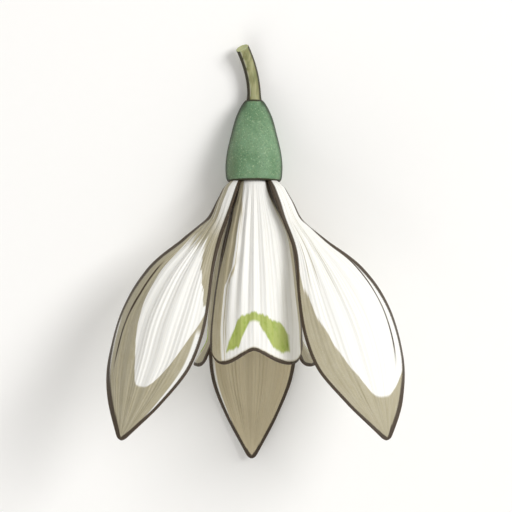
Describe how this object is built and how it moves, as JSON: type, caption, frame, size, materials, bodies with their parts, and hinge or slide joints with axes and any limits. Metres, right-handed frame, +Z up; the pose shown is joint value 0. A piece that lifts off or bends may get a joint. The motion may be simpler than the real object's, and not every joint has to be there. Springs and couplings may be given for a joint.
{
  "type": "snowdrop flower",
  "caption": "Single snowdrop flower cut with a short stalk and laid on its back: spreading white outer tepals round a notched inner cup with green marks, under a green ovary.",
  "frame": {"origin": "on the surface that the flower lies on, under the middle of the rectangle that it covers", "axes": "+Y towards the cut end of the stalk, -Y towards the petals' tips, +X to the flower's right as the picture shows it, +Z up out of the side that shows"},
  "size_m": [0.027, 0.038, 0.0157],
  "materials": {
    "outer_petal": "satin",
    "inner_petal": "satin",
    "ovary_skin": "satin",
    "stalk_skin": "satin",
    "anther": "matte",
    "style": "satin"
  },
  "bodies": {
    "root": {"pedicel": "stalk_skin", "ovary": "ovary_skin", "outer_tepal_left": "outer_petal", "outer_tepal_right": "outer_petal", "outer_tepal_back": "outer_petal", "inner_tepal_front": "inner_petal", "inner_tepal_left": "inner_petal", "inner_tepal_right": "inner_petal", "stamens": "anther", "style": "style"}
  },
  "joints": []
}
